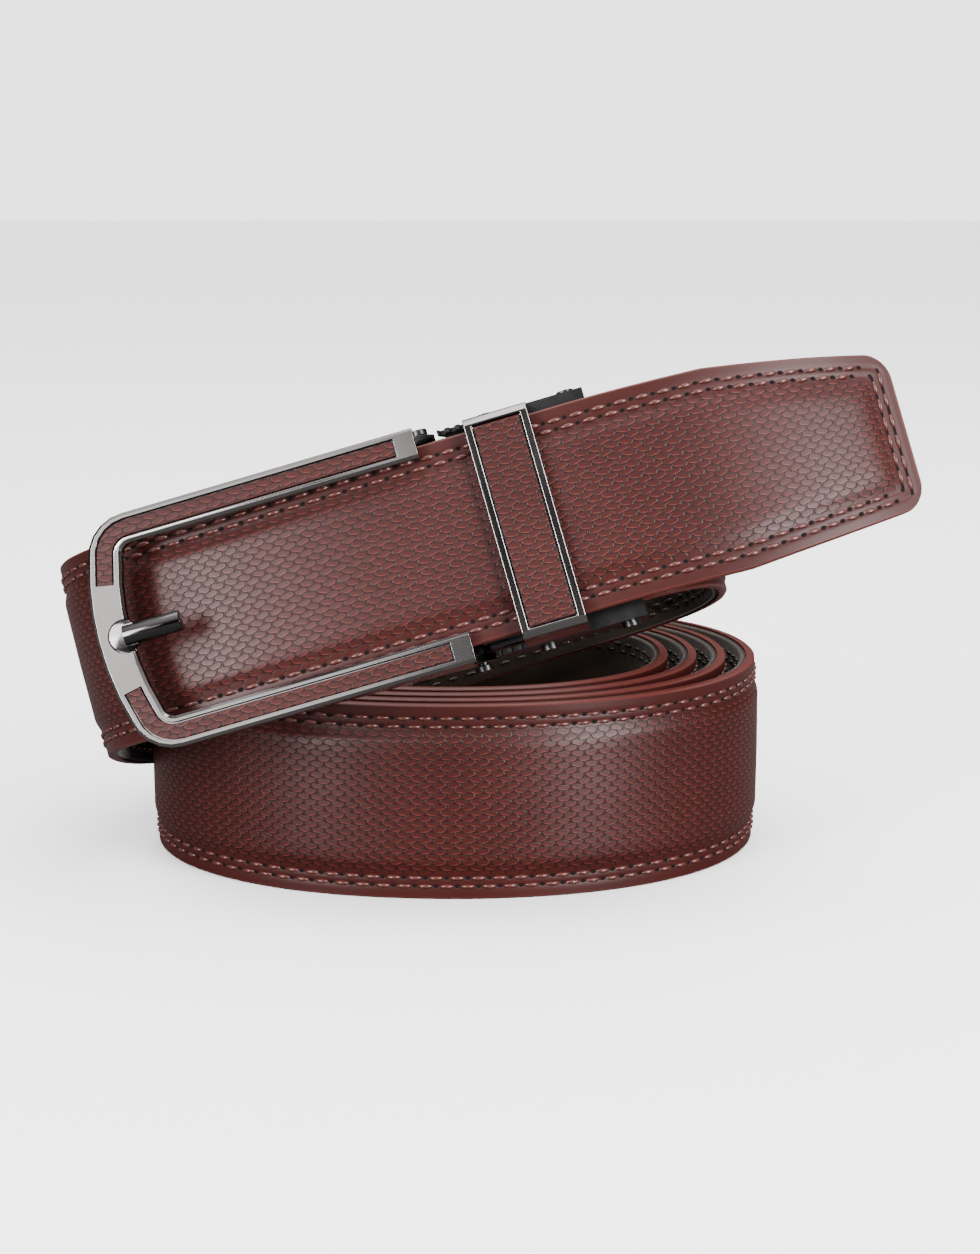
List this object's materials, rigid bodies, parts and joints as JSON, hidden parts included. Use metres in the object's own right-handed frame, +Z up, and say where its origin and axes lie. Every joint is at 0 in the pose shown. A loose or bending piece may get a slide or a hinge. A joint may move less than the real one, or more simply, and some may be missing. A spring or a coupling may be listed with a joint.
{
  "type": "ratchet belt",
  "caption": "Coiled leather ratchet belt with a pin-style metal frame buckle that swings open on a hinge, keeper bridge and tapered tongue.",
  "frame": {"origin": "centre of the bounding box at its floor, which is the coil's lower edge", "axes": "+Z up across the strap's width, +X to the right along the coil's long way, +Y away from the buckle"},
  "size_m": [0.1522, 0.1166, 0.0949],
  "materials": {
    "leather": "embossed satin",
    "suede_lining": "matte suede",
    "track_nylon": "matte",
    "gunmetal": "polished dark nickel",
    "dark_metal": "satin black"
  },
  "bodies": {
    "belt": {"strap": "leather", "strap_lining": "suede_lining", "ratchet_track": "track_nylon", "housing": "dark_metal", "strap_clamp": "dark_metal", "keeper": "gunmetal", "keeper_inlay": "leather", "hinge_pin": "dark_metal", "release_pawl": "dark_metal"},
    "frame": {"frame": "gunmetal", "frame_inlay_upper": "leather", "frame_inlay_lower": "leather", "prong": "gunmetal"}
  },
  "joints": [
    {"name": "frame_hinge", "type": "hinge", "parent": "belt", "child": "frame", "pos_m": [-0.00418, -0.04152, 0.06212], "axis": [-0.2714, 0.2756, 0.9222], "range_deg": [0, 28]}
  ]
}
